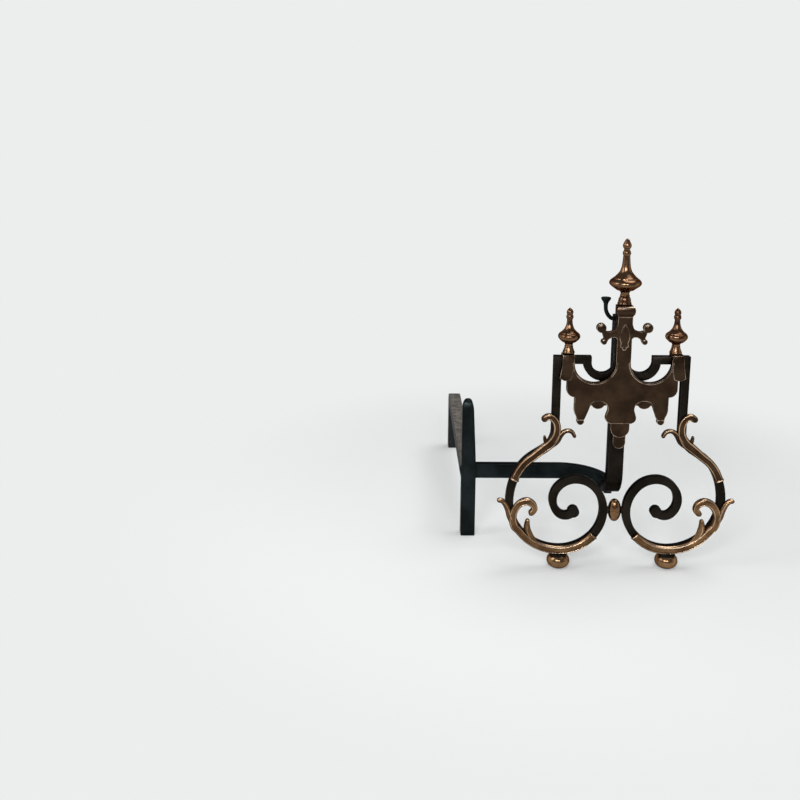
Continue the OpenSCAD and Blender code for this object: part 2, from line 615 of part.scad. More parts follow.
LOWER_CURL = [[-62.7, -166.4, 14, 1, 0], [-66.1, -152.4, 13, 1, 0], [-63.7, -138.8, 12.4, 1, 0],
              [-55.5, -127.2, 13, 1, 1], [-43.9, -122.8, 13, 1, 3], [-33.7, -127.8, 11.6, 1, 4],
              [-30.3, -136.8, 10, 1, 4], [-35.3, -143, 9.8, 1.06, 4]];
LOWER_TIP = [[-56.5, -175.8, 5, 0.6, -0.8], [-64.5, -163, 9, 0.7, -0.8], [-70.5, -149.8, 11, 0.8, -0.8],
             [-74.1, -138.4, 10, 0.86, -0.5], [-78.5, -128.8, 9, 0.86, 0.5], [-83.7, -122.4, 8.2, 0.86, 2],
             [lower_tip[0], lower_tip[1], lower_tip_w, 0.9, 2]];
LOWER_LEAFLET = [[-21.1, -201, 6, 0.6, -0.8], [-30.1, -192.8, 11, 0.9, -0.8], [-37.5, -183, 13, 1, 0],
                 [-41.3, -173, 12, 1.02, 2], [-41.9, -163.6, 9.4, 1, 2], [-41.1, -156.4, 6.8, 0.94, 2]];

function scaled(list) =
    [for (p = list) [frame_x + p[0], scroll_start + p[1], p[2], p[3] * leaf_t, p[4]]];
sheath_w = bar + 1.2;
lip_w = sheath_w + 1.6;        // the sheath's end is rolled over into a lip
lip_t = leaf_t + 0.7;
UPPER_BODY = [[3, 0.2], [3, 0], [2, 0.66], [2, 0.33], [2, 0]];
LOWER_BODY = [[7, 0.05], [6, 0.8], [6, 0.55], [6, 0.3], [6, 0], [5, 0.7], [5, 0.4], [5, 0.1], [4, 0.8]];

UPPER_MAIN = concat(bar_rib([[3, 0.28], [3, 0.245]], lip_w, lip_t), bar_rib(UPPER_BODY, sheath_w, leaf_t),
                    scaled(UPPER_CURL));
LOWER_MAIN = concat(bar_rib([[7, 0.125], [7, 0.09]], lip_w, lip_t), bar_rib(LOWER_BODY, sheath_w, leaf_t),
                    scaled(LOWER_CURL));

// a leaf's main rib, with its smaller ribs let in against its edge
module leaf(main, small, holes) {
    difference() {
        rib(main);
        leaf_sockets(holes);
    }
    for (list = small) difference() {
        rib(scaled(list));
        rib_outline(main);
    }
}
module upper_leaf(side)
    cast() on_side(side) leaf(UPPER_MAIN, [UPPER_LEAFLET, UPPER_BUD], [0, 1]);
module lower_leaf(side)
    cast() on_side(side) leaf(LOWER_MAIN, [LOWER_TIP, LOWER_LEAFLET], [2, 3]);
module leaf_sockets(which)
    for (i = which)
        translate([leaf_holes[i][0], 1 - bar / 2, leaf_holes[i][1]]) rotate([90, 0, 0])
            cylinder(r = screw_r + 2 * fit, h = leaf_bite + fit + 1, $fn = 16);

scroll_bar(LEFT);  // left_scroll_bar
scroll_bar(RIGHT);  // right_scroll_bar
yoke_bar(LEFT);  // left_yoke_bar
yoke_bar(RIGHT);  // right_yoke_bar
standard();
cross_arm();
arm_rivet();
log_post();
log_bar();
crest_plate();
plate_screws();
tall_finial();
tall_finial_stud();
side_finial(LEFT);  // left_finial
side_finial(RIGHT);  // right_finial
side_finial_studs();
tool_hook();
centre_bead();
bead_pin();
foot(LEFT);  // left_foot
foot(RIGHT);  // right_foot
foot_collars();
foot_studs();
upper_leaf(LEFT);  // left_upper_leaf
upper_leaf(RIGHT);  // right_upper_leaf
lower_leaf(LEFT);  // left_lower_leaf
lower_leaf(RIGHT);  // right_lower_leaf
leaf_screws();
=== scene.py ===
import math

import bpy
from mathutils import Matrix, Vector


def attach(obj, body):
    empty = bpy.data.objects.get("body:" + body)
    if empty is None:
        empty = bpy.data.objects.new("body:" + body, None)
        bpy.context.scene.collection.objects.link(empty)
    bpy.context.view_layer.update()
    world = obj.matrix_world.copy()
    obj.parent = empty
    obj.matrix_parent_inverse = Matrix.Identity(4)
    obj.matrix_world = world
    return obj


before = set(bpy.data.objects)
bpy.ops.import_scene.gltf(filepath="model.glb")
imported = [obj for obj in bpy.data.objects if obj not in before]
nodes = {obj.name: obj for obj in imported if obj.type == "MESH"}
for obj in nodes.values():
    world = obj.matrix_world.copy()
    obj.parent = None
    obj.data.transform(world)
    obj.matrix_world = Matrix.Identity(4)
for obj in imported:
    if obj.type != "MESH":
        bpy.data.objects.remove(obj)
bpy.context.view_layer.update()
scene = bpy.context.scene

# ---- Studio -------------------------------------------------------------------------
# A pale paper sweep under and behind the andiron, which passes softly into a grey studio
# on the camera's side. A wide light hangs overhead, a little to the right and the rear,
# and soft boxes stand beside the camera and on the left.
PAPER = (0.838, 0.855, 0.847)
STUDIO_GREY = (0.19, 0.194, 0.196)
PAPER_FRONT = (-1.1, -3.6)  # y over which the paper passes into grey
SHADED_R = (0.42, 0.9)  # the paper takes shadows up to here, and is an even tone beyond
SHADE_SHARE = 0.7  # how much of its light and shadow shows close to the andiron
FLOOR_R = 3.4
FLOOR_RIM = 0.5
FLOOR_SIDES = 96
SWEEP_R = 2.2
SWEEP_STEPS = 12
WALL_TOP = 3.4


def put(tree, value, sock):
    """Sets a socket to a number or a colour, or links another node's output to it."""
    if isinstance(value, (int, float)):
        sock.default_value = value
    elif isinstance(value, tuple):
        sock.default_value = (*value, 1)
    else:
        tree.links.new(value, sock)


def math_node(tree, operation, a, b, clamp=False):
    node = tree.nodes.new("ShaderNodeMath")
    node.operation = operation
    node.use_clamp = clamp
    put(tree, a, node.inputs[0])
    put(tree, b, node.inputs[1])
    return node.outputs[0]


def span_node(tree, value, low, high, to_low=0.0, to_high=1.0):
    """A smooth step from to_low to to_high while the value goes from low to high."""
    node = tree.nodes.new("ShaderNodeMapRange")
    node.interpolation_type = "SMOOTHSTEP"
    node.inputs["From Min"].default_value = low
    node.inputs["From Max"].default_value = high
    node.inputs["To Min"].default_value = to_low
    node.inputs["To Max"].default_value = to_high
    tree.links.new(value, node.inputs["Value"])
    return node.outputs["Result"]


def mix_node(tree, share, below, above):
    """Mixes two colours by a mask. Each may be a colour or the output of another mix."""
    node = tree.nodes.new("ShaderNodeMix")
    node.data_type = "RGBA"
    put(tree, share, node.inputs[0])
    put(tree, below, node.inputs[6])
    put(tree, above, node.inputs[7])
    return node.outputs[2]


def paper_material():
    """Paper that keeps the andiron's shadow, and is one even tone further off."""
    mat = bpy.data.materials.new("seamless_paper")
    mat.use_nodes = True
    tree = mat.node_tree
    tree.nodes.clear()
    spot = tree.nodes.new("ShaderNodeNewGeometry")
    place = tree.nodes.new("ShaderNodeSeparateXYZ")
    tree.links.new(spot.outputs["Position"], place.inputs[0])
    tone = mix_node(tree, span_node(tree, place.outputs["Y"], *PAPER_FRONT), PAPER, STUDIO_GREY)

    rays = tree.nodes.new("ShaderNodeLightPath")
    looked_at = rays.outputs["Is Camera Ray"]
    for label in ("Is Glossy Ray", "Is Transmission Ray"):
        looked_at = math_node(tree, "MAXIMUM", looked_at, rays.outputs[label])
    away = tree.nodes.new("ShaderNodeVectorMath")
    away.operation = "LENGTH"
    tree.links.new(spot.outputs["Position"], away.inputs[0])
    evened = span_node(tree, away.outputs["Value"], *SHADED_R, 1 - SHADE_SHARE, 1.0)

    lit = tree.nodes.new("ShaderNodeBsdfDiffuse")
    even = tree.nodes.new("ShaderNodeEmission")
    mix = tree.nodes.new("ShaderNodeMixShader")
    out = tree.nodes.new("ShaderNodeOutputMaterial")
    tree.links.new(tone, lit.inputs["Color"])
    tree.links.new(tone, even.inputs["Color"])
    tree.links.new(math_node(tree, "MULTIPLY", looked_at, evened), mix.inputs["Fac"])
    tree.links.new(lit.outputs[0], mix.inputs[1])
    tree.links.new(even.outputs[0], mix.inputs[2])
    tree.links.new(mix.outputs[0], out.inputs["Surface"])
    return mat


def studio_floor():
    """A round floor whose rim curves up into a wall."""
    profile = [(FLOOR_R - FLOOR_RIM, 0.0), (FLOOR_R, 0.0)]
    for i in range(1, SWEEP_STEPS + 1):
        a = math.radians(90 * i / SWEEP_STEPS)
        profile.append((FLOOR_R + SWEEP_R * math.sin(a), SWEEP_R * (1 - math.cos(a))))
    profile.append((FLOOR_R + SWEEP_R, WALL_TOP))
    sides = FLOOR_SIDES
    verts = [(r * math.cos(math.tau * k / sides), r * math.sin(math.tau * k / sides), z)
             for r, z in profile for k in range(sides)]
    faces = [tuple(range(sides))]
    for i in range(len(profile) - 1):
        for k in range(sides):
            n = (k + 1) % sides
            faces.append((i * sides + n, i * sides + k, (i + 1) * sides + k, (i + 1) * sides + n))
    mesh = bpy.data.meshes.new("studio_floor")
    mesh.from_pydata(verts, [], faces)
    mesh.shade_smooth()
    mesh.materials.append(paper_material())
    floor = bpy.data.objects.new("studio_floor", mesh)
    scene.collection.objects.link(floor)
    return floor


def aimed(lamp, place, aim):
    obj = bpy.data.objects.new(lamp.name, lamp)
    scene.collection.objects.link(obj)
    obj.location = place
    obj.rotation_euler = (Vector(aim) - Vector(place)).to_track_quat("-Z", "Y").to_euler()


def soft_box(name, place, aim, size, power):
    lamp = bpy.data.lights.new(name, "AREA")
    lamp.shape = "RECTANGLE"
    lamp.size, lamp.size_y = size
    lamp.energy = power
    aimed(lamp, place, aim)


studio_floor()
overhead = bpy.data.lights.new("ceiling_light", "SUN")
overhead.angle = math.radians(40)
overhead.energy = 1.32
aimed(overhead, (0.9, 0.2, 3.0), (0.0, -0.2, 0.2))
soft_box("left_box", (-1.0, -2.65, 1.7), (0.0, -0.2, 0.3), (0.8, 0.8), 33)
soft_box("right_box", (0.1, -2.85, 1.65), (0.0, -0.2, 0.3), (0.5, 0.7), 17)
soft_box("high_left_box", (-1.9, -0.7, 1.5), (0.0, -0.25, 0.25), (1.0, 1.0), 11)

air = bpy.data.worlds.new("studio_air")
scene.world = air
air.use_nodes = True
sky = air.node_tree.nodes["Background"]
sky.inputs["Color"].default_value = (0.96, 0.98, 1.0, 1)
sky.inputs["Strength"].default_value = 0.2

CAMERA_AT = (-0.3333, -1.8665, 0.7596)
CAMERA_TURN = 0.0006  # radians to the right of +Y
CAMERA_DIP = 0.1951
CAMERA_TILT = 0.0051
SENSOR_W = 36.0
LENS = 45.0
SHIFT_Y = -0.12

eye = bpy.data.cameras.new("picture_camera")
eye.sensor_width = SENSOR_W
eye.lens = LENS
eye.shift_y = SHIFT_Y
camera = bpy.data.objects.new("picture_camera", eye)
scene.collection.objects.link(camera)
camera.location = CAMERA_AT
camera.rotation_euler = (
    Matrix.Rotation(-CAMERA_TURN, 3, "Z")
    @ Matrix.Rotation(math.pi / 2 - CAMERA_DIP, 3, "X")
    @ Matrix.Rotation(CAMERA_TILT, 3, "Z")
).to_euler()
scene.camera = camera
scene.view_settings.view_transform = "Standard"

# ---- Scroll bars --------------------------------------------------------------------
# Half-inch square iron, drawn and bent hot round a scroll form, then brushed and waxed
# to a brown black. Hammer and wire brush leave it slightly uneven, with soft arrises.


def new_group(name, inputs, outputs):
    """An empty shader group. Inputs are (name, default), outputs are names, all plain values."""
    group = bpy.data.node_groups.new(name, "ShaderNodeTree")
    for label, value in inputs:
        sock = group.interface.new_socket(label, in_out="INPUT", socket_type="NodeSocketFloat")
        sock.default_value = value
    for label in outputs:
        group.interface.new_socket(label, in_out="OUTPUT", socket_type="NodeSocketFloat")
    return group, group.nodes.new("NodeGroupInput"), group.nodes.new("NodeGroupOutput")


def noise_node(tree, vector, scale, detail, roughness=0.5):
    node = tree.nodes.new("ShaderNodeTexNoise")
    tree.links.new(vector, node.inputs["Vector"])
    put(tree, scale, node.inputs["Scale"])
    node.inputs["Detail"].default_value = detail
    node.inputs["Roughness"].default_value = roughness
    return node.outputs["Fac"]


def worn_arris_group():
    """Where an arris has been rubbed bright: 1 on the edge, broken up by noise."""
    group, inp, out = new_group(
        "worn_arris", [("Width", 0.0012), ("Gain", 6.0), ("Breakup", 60.0)], ["Wear"])
    bevel = group.nodes.new("ShaderNodeBevel")
    bevel.samples = 6
    group.links.new(inp.outputs["Width"], bevel.inputs["Radius"])
    geo = group.nodes.new("ShaderNodeNewGeometry")
    dot = group.nodes.new("ShaderNodeVectorMath")
    dot.operation = "DOT_PRODUCT"
    group.links.new(bevel.outputs[0], dot.inputs[0])
    group.links.new(geo.outputs["Normal"], dot.inputs[1])
    turned = math_node(group, "SUBTRACT", 1.0, dot.outputs["Value"])
    edge = math_node(group, "MULTIPLY", turned, inp.outputs["Gain"], clamp=True)
    coord = group.nodes.new("ShaderNodeTexCoord")
    noise = noise_node(group, coord.outputs["Object"], inp.outputs["Breakup"], 3.0)
    patchy = span_node(group, noise, 0.38, 0.62, 0.1, 1.0)
    group.links.new(math_node(group, "MULTIPLY", edge, patchy, clamp=True), out.inputs["Wear"])
    return group


def mottle_group():
    """Slow and fast variation of tone over a surface, from 0 to 1."""
    group, inp, out = new_group("mottle", [("Scale", 30.0), ("Fine", 260.0)], ["Slow", "Fast"])
    coord = group.nodes.new("ShaderNodeTexCoord")
    slow = noise_node(group, coord.outputs["Object"], inp.outputs["Scale"], 4.0, 0.55)
    fast = noise_node(group, coord.outputs["Object"], inp.outputs["Fine"], 3.0, 0.6)
    group.links.new(span_node(group, slow, 0.34, 0.66), out.inputs["Slow"])
    group.links.new(span_node(group, fast, 0.32, 0.68), out.inputs["Fast"])
    return group


def hand_work_group():
    """Height of hammer flats and of the fine scoring over them."""
    group, inp, out = new_group(
        "hand_work", [("Flats", 45.0), ("Scoring", 700.0), ("Scoring Share", 0.25)], ["Height"])
    coord = group.nodes.new("ShaderNodeTexCoord")
    flats = group.nodes.new("ShaderNodeTexVoronoi")
    flats.feature = "SMOOTH_F1"
    group.links.new(coord.outputs["Object"], flats.inputs["Vector"])
    group.links.new(inp.outputs["Flats"], flats.inputs["Scale"])
    score = noise_node(group, coord.outputs["Object"], inp.outputs["Scoring"], 2.0)
    fine = math_node(group, "MULTIPLY", score, inp.outputs["Scoring Share"])
    height = math_node(group, "ADD", flats.outputs["Distance"], fine)
    group.links.new(height, out.inputs["Height"])
    return group


WORN_ARRIS = worn_arris_group()
MOTTLE = mottle_group()
HAND_WORK = hand_work_group()


class Finish:
    """A material under way: its tree, its shader and the groups placed in it."""

    def __init__(self, name, metallic, roughness, specular=0.5):
        self.mat = bpy.data.materials.new(name)
        self.mat.use_nodes = True
        self.tree = self.mat.node_tree
        self.shader = self.tree.nodes["Principled BSDF"]
        self.shader.inputs["Metallic"].default_value = metallic
        self.shader.inputs["Roughness"].default_value = roughness
        self.shader.inputs["Specular IOR Level"].default_value = specular

    def place(self, group, **values):
        """Puts a group in the material, with its own values, and gives the group's outputs."""
        node = self.tree.nodes.new("ShaderNodeGroup")
        node.node_tree = group
        for label, value in values.items():
            node.inputs[label.replace("_", " ")].default_value = value
        return node.outputs

    def tint(self, share, below, above):
        return mix_node(self.tree, share, below, above)

    def feed(self, output, label):
        self.tree.links.new(output, self.shader.inputs[label])

    def emboss(self, height, depth):
        bump = self.tree.nodes.new("ShaderNodeBump")
        bump.inputs["Distance"].default_value = depth
        bump.inputs["Strength"].default_value = 1.0
        self.tree.links.new(height, bump.inputs["Height"])
        self.tree.links.new(bump.outputs[0], self.shader.inputs["Normal"])


def forged_iron(name, dark, pale, rubbed, roughness):
    iron = Finish(name, metallic=0.92, roughness=roughness, specular=0.2)
    iron.shader.inputs["Specular Tint"].default_value = (0.3, 0.3, 0.3, 1)
    tone = iron.place(MOTTLE, Scale=24.0, Fine=300.0)
    wear = iron.place(WORN_ARRIS, Width=0.0011, Gain=5.0, Breakup=42.0)
    marks = iron.place(HAND_WORK, Flats=60.0, Scoring=520.0, Scoring_Share=0.22)
    colour = iron.tint(tone["Slow"], dark, pale)
    iron.feed(iron.tint(wear["Wear"], colour, rubbed), "Base Color")
    dull = span_node(iron.tree, tone["Fast"], 0.0, 1.0, roughness - 0.07, roughness + 0.1)
    iron.feed(dull, "Roughness")
    iron.emboss(marks["Height"], 0.0002)
    return iron.mat


WAXED_BLACK = forged_iron(
    "waxed_black_iron", dark=(0.012, 0.0095, 0.0075), pale=(0.024, 0.019, 0.015),
    rubbed=(0.1, 0.082, 0.068), roughness=0.4)

SEAM = 2e-6  # faces of the frame that belong together end this close to each other
EASE_FROM = math.radians(34)  # arrises that turn by more than this are eased
EASE_STEPS = 2
HARD_FROM = math.radians(40)  # and edges that still turn by more than this look hard


def shape_tree(name):
    """An empty group for a mesh, with its way in and its way out."""
    tree = bpy.data.node_groups.new(name, "GeometryNodeTree")
    for way in ("INPUT", "OUTPUT"):
        tree.interface.new_socket("Geometry", in_out=way, socket_type="NodeSocketGeometry")
    return tree, tree.nodes.new("NodeGroupInput"), tree.nodes.new("NodeGroupOutput")


def closed_skin_tree():
    """Closes the seams that the frame's file leaves between faces, so that edges can be eased."""
    tree, inp, out = shape_tree("closed_skin")
    plain = tree.nodes.new("GeometryNodeRemoveAttribute")
    plain.inputs["Name"].default_value = "custom_normal"
    weld = tree.nodes.new("GeometryNodeMergeByDistance")
    weld.inputs["Distance"].default_value = SEAM
    tree.links.new(inp.outputs[0], plain.inputs[0])
    tree.links.new(plain.outputs[0], weld.inputs[0])
    tree.links.new(weld.outputs[0], out.inputs[0])
    return tree


def round_shading_tree():
    """Shades every face round and keeps a hard line only where two meet at a clear angle."""
    tree, inp, out = shape_tree("round_shading")
    faces = tree.nodes.new("GeometryNodeSetShadeSmooth")
    faces.domain = "FACE"
    faces.inputs["Shade Smooth"].default_value = True
    edges = tree.nodes.new("GeometryNodeSetShadeSmooth")
    edges.domain = "EDGE"
    edges.inputs["Shade Smooth"].default_value = False
    bend = tree.nodes.new("GeometryNodeInputMeshEdgeAngle")
    sharp = tree.nodes.new("FunctionNodeCompare")
    sharp.data_type = "FLOAT"
    sharp.operation = "GREATER_THAN"
    sharp.inputs["B"].default_value = HARD_FROM
    tree.links.new(bend.outputs["Unsigned Angle"], sharp.inputs["A"])
    tree.links.new(sharp.outputs["Result"], edges.inputs["Selection"])
    tree.links.new(inp.outputs[0], faces.inputs["Geometry"])
    tree.links.new(faces.outputs[0], edges.inputs["Geometry"])
    tree.links.new(edges.outputs[0], out.inputs[0])
    return tree


CLOSED_SKIN = closed_skin_tree()
ROUND_SHADING = round_shading_tree()


def dress(name, material, arris=0.0):
    """Gives a node its finish, and eases its arrises by that many metres."""
    obj = nodes[name]
    obj.data.materials.clear()
    obj.data.materials.append(material)
    obj.modifiers.new("closed_skin", "NODES").node_group = CLOSED_SKIN
    if arris:
        ease = obj.modifiers.new("eased_arris", "BEVEL")
        ease.width = arris
        ease.segments = EASE_STEPS
        ease.limit_method = "ANGLE"
        ease.angle_limit = EASE_FROM
        ease.use_clamp_overlap = True
    obj.modifiers.new("round_shading", "NODES").node_group = ROUND_SHADING


for side in ("left", "right"):
    dress(side + "_scroll_bar", WAXED_BLACK, arris=0.0014)

# ---- Rails and standard -------------------------------------------------------------
# The rail, half ring and riser of each side are one half-inch bar, and the flat standard
# stands behind the two risers. All are blackened and waxed with the scrolls.
for name in ("left_yoke_bar", "right_yoke_bar", "standard"):
    dress(name, WAXED_BLACK, arris=0.0011)

# ---- Arm, post and log bar ----------------------------------------------------------
# The arm runs on edge to a square post with a rounded point. Their black is cooler and
# plainer than the front's. The log bar behind keeps its grey, pitted forge scale on top.
COOL_BLACK = forged_iron(
    "cool_black_iron", dark=(0.009, 0.012, 0.0125), pale=(0.018, 0.024, 0.0255),
    rubbed=(0.07, 0.082, 0.085), roughness=0.38)
for name in ("cross_arm", "log_post", "arm_rivet"):
    dress(name, COOL_BLACK, arris=0.0012)

SCALE_TOP = (0.55, 0.8)  # how squarely a face must look up to show bare scale
# two tones each, which the mottle mixes
BARE_SIDE = ((0.007, 0.0075, 0.008), (0.014, 0.0145, 0.0145))
DARK_SCALE = ((0.04, 0.035, 0.03), (0.1, 0.087, 0.074))
PALE_SCALE = ((0.07, 0.06, 0.05), (0.27, 0.235, 0.195))
CRACK = (0.018, 0.016, 0.015)
WORN_SCALE = (0.34, 0.31, 0.27)


def flake_mask(tree, coord):
    """1 on the flakes of the scale, and 0 in the wandering cracks between some of them."""
    stir = tree.nodes.new("ShaderNodeTexNoise")
    stir.inputs["Scale"].default_value = 110.0
    tree.links.new(coord, stir.inputs["Vector"])
    wander = tree.nodes.new("ShaderNodeVectorMath")
    wander.operation = "SCALE"
    wander.inputs["Scale"].default_value = 0.016
    tree.links.new(stir.outputs["Color"], wander.inputs[0])
    astray = tree.nodes.new("ShaderNodeVectorMath")
    tree.links.new(coord, astray.inputs[0])
    tree.links.new(wander.outputs[0], astray.inputs[1])
    cracks = tree.nodes.new("ShaderNodeTexVoronoi")
    cracks.feature = "DISTANCE_TO_EDGE"
    cracks.inputs["Scale"].default_value = 95.0
    tree.links.new(astray.outputs[0], cracks.inputs["Vector"])
    whole = math_node(tree, "SUBTRACT", 1.15, noise_node(tree, coord, 70.0, 3.0), clamp=True)
    return math_node(tree, "MAXIMUM", span_node(tree, cracks.outputs["Distance"], 0.01, 0.12),
                     span_node(tree, whole, 0.55, 0.72))


def scaled_iron():
    iron = Finish("scaled_iron", metallic=0.0, roughness=0.62, specular=0.3)
    tree = iron.tree
    coord = tree.nodes.new("ShaderNodeTexCoord")
    tone = iron.place(MOTTLE, Scale=55.0, Fine=420.0)
    wear = iron.place(WORN_ARRIS, Width=0.0016, Gain=6.0, Breakup=70.0)
    flake = flake_mask(tree, coord.outputs["Object"])
    scale = iron.tint(tone["Slow"], iron.tint(tone["Fast"], *DARK_SCALE),
                      iron.tint(tone["Fast"], *PALE_SCALE))
    scale = iron.tint(flake, CRACK, scale)
    geo = tree.nodes.new("ShaderNodeNewGeometry")
    split = tree.nodes.new("ShaderNodeSeparateXYZ")
    tree.links.new(geo.outputs["Normal"], split.inputs[0])
    on_top = span_node(tree, split.outputs["Z"], *SCALE_TOP)
    colour = iron.tint(on_top, iron.tint(tone["Slow"], *BARE_SIDE), scale)
    iron.feed(iron.tint(wear["Wear"], colour, WORN_SCALE), "Base Color")
    iron.emboss(math_node(tree, "ADD", flake, tone["Fast"]), 0.0006)
    return iron.mat


dress("log_bar", scaled_iron(), arris=0.0016)

# ---- Crest plate --------------------------------------------------------------------
# A flat bronze casting with a stepped relief, patinated dark brown and rubbed bright
# along every raised line. Painted shade darkens what looks down, and a painted highlight
# lies on what looks up and to the front. Its cap and straps lie over the bars.
PAINTED_LIGHT_WAY = (0.0, -0.6, 0.8)  # the way the painted light comes from: faces that look this way are painted lighter
# how strongly the painted highlight shows where a face looks that way squarely
PAINTED_HIGHLIGHT_SHARE = 0.8
WEAR_AND_HIGHLIGHT_GLOSS = 0.1  # how much smoother the worn arrises and the painted highlight are


def hollow_group():
    """How deep in a corner a point lies: 0 in the open, 1 deep in corners, where the colour is
    made darker.
    """
    group, inp, out = new_group("hollow", [("Reach", 0.008)], ["Depth"])
    corner = group.nodes.new("ShaderNodeAmbientOcclusion")
    corner.samples = 6
    group.links.new(inp.outputs["Reach"], corner.inputs["Distance"])
    depth = math_node(group, "SUBTRACT", 1.0, corner.outputs["AO"], clamp=True)
    group.links.new(depth, out.inputs["Depth"])
    return group


def painted_light_side_group():
    """How far a surface looks up and to the front, toward the painted light. Share goes from 0
    underneath to 1 on top, for painted shade and painted light, and Crest marks only what
    looks that way squarely, for a painted highlight."""
    group, _, out = new_group("painted_light_side", [], ["Share", "Crest"])
    geo = group.nodes.new("ShaderNodeNewGeometry")
    dot = group.nodes.new("ShaderNodeVectorMath")
    dot.operation = "DOT_PRODUCT"
    dot.inputs[1].default_value = PAINTED_LIGHT_WAY
    group.links.new(geo.outputs["Normal"], dot.inputs[0])
    group.links.new(span_node(group, dot.outputs["Value"], 0.05, 1.0), out.inputs["Share"])
    group.links.new(span_node(group, dot.outputs["Value"], 0.8, 0.98), out.inputs["Crest"])
    return group


HOLLOW = hollow_group()
PAINTED_LIGHT_SIDE = painted_light_side_group()


def cast_bronze(name, deep, olive, brown, rubbed, roughness, wear_gain, flats):
    """Bronze browned unevenly: olive and brown by turns, dark in hollows, bright on worn arrises.
    Painted shade darkens what looks down, and painted light and a painted highlight brighten what
    looks up and to the front.
    """
    bronze = Finish(name, metallic=0.95, roughness=roughness)
    bronze.shader.inputs["Specular Tint"].default_value = (0.3, 0.22, 0.17, 1)
    tree = bronze.tree
    tone = bronze.place(MOTTLE, Scale=26.0, Fine=180.0)
    wear = bronze.place(WORN_ARRIS, Width=0.0016, Gain=wear_gain, Breakup=55.0)
    hollow = bronze.place(HOLLOW, Reach=0.008)
    marks = bronze.place(HAND_WORK, Flats=38.0, Scoring=420.0, Scoring_Share=0.3)
    # painted light: faces that look down get a halved olive as painted shade, faces that look up
    # and to the front run lighter
    top = bronze.place(PAINTED_LIGHT_SIDE)
    under = tuple(c * 0.5 for c in olive)
    colour = bronze.tint(top["Share"], bronze.tint(tone["Slow"], under, olive),
                         bronze.tint(tone["Slow"], olive, brown))
    # the rubbed colour goes on worn arrises, and as a painted highlight on faces that look up and
    # to the front squarely
    crest = math_node(tree, "MULTIPLY", top["Crest"], PAINTED_HIGHLIGHT_SHARE)
    wear_and_highlight = math_node(tree, "MAXIMUM", wear["Wear"], crest)
    colour = bronze.tint(wear_and_highlight, colour, rubbed)
    sunk = span_node(tree, hollow["Depth"], 0.25, 0.75)
    bronze.feed(bronze.tint(sunk, colour, deep), "Base Color")
    dull = span_node(tree, tone["Fast"], 0.0, 1.0, roughness - 0.04, roughness + 0.06)
    gloss = math_node(tree, "MULTIPLY", wear_and_highlight, WEAR_AND_HIGHLIGHT_GLOSS)
    bronze.feed(math_node(tree, "SUBTRACT", dull, gloss), "Roughness")
    bronze.emboss(marks["Height"], flats)
    return bronze.mat


DARK_PATINA = cast_bronze(
    "dark_patina", deep=(0.006, 0.004, 0.003), olive=(0.04, 0.024, 0.0145),
    brown=(0.08, 0.046, 0.028), rubbed=(0.85, 0.66, 0.5),
    roughness=0.33, wear_gain=9.0, flats=0.0002)
dress("crest_plate", DARK_PATINA, arris=0.0013)

# ---- Finials, feet and bead ---------------------------------------------------------
# Bronze turnings, polished and left to brown: three finials, two bun feet and the oval
# bead between the loops. They stand on iron studs, collars and a pin.


def turned_bronze(name, brown, gold):
    """Smooth and glossy, browner by patches and near black in the coves."""
    bronze = Finish(name, metallic=0.97, roughness=0.22)
    bronze.shader.inputs["Specular Tint"].default_value = (0.24, 0.2, 0.18, 1)
    tone = bronze.place(MOTTLE, Scale=34.0, Fine=150.0)
    cove = bronze.place(HOLLOW, Reach=0.007)
    marks = bronze.place(HAND_WORK, Flats=30.0, Scoring=160.0, Scoring_Share=0.2)
    colour = bronze.tint(tone["Slow"], brown, gold)
    cove_dark = span_node(bronze.tree, cove["Depth"], 0.25, 0.7)
    bronze.feed(bronze.tint(cove_dark, colour, (0.012, 0.007, 0.004)), "Base Color")
    bronze.feed(span_node(bronze.tree, tone["Fast"], 0.0, 1.0, 0.17, 0.25), "Roughness")
    bronze.emboss(marks["Height"], 0.00003)
    return bronze.mat


FINIAL = turned_bronze("finial_bronze", brown=(0.1, 0.052, 0.029), gold=(0.2, 0.112, 0.062))
BALL = turned_bronze("ball_bronze", brown=(0.17, 0.092, 0.047), gold=(0.31, 0.182, 0.094))
for name in ("tall_finial", "left_finial", "right_finial"):
    dress(name, FINIAL)
for name in ("left_foot", "right_foot", "centre_bead"):
    dress(name, BALL)
for name in ("tall_finial_stud", "side_finial_studs", "foot_studs", "foot_collars", "bead_pin"):
    dress(name, WAXED_BLACK)

# ---- Leaf castings ------------------------------------------------------------------
# Bronze leaves laid on the scroll bars and screwed from behind. Thin beads are raised on
# them: a vein along both edges of the body, one along each leaflet, and a lip across the
# end of the sheath, all in a brighter bronze that paints highlights and reflections on them.
# The upper leaves are a darker tone than the lower.
UPPER_LEAF = cast_bronze(
    "darker_leaf_bronze", deep=(0.01, 0.006, 0.004), olive=(0.045, 0.024, 0.013),
    brown=(0.105, 0.057, 0.03), rubbed=(0.6, 0.4, 0.25),
    roughness=0.3, wear_gain=2.0, flats=0.0001)
LOWER_LEAF = cast_bronze(
    "lighter_leaf_bronze", deep=(0.02, 0.011, 0.006), olive=(0.12, 0.063, 0.03),
    brown=(0.31, 0.172, 0.083), rubbed=(0.8, 0.55, 0.35),
    roughness=0.28, wear_gain=2.0, flats=0.0001)
# its bright colour is a painted highlight and a painted reflection along the beads
PAINTED_HIGHLIGHT_BEAD = cast_bronze(
    "painted_highlight_bead_bronze", deep=(0.1, 0.056, 0.03), olive=(0.42, 0.26, 0.15),
    brown=(0.8, 0.57, 0.37), rubbed=(0.9, 0.7, 0.5),
    roughness=0.3, wear_gain=0.0, flats=0.00002)

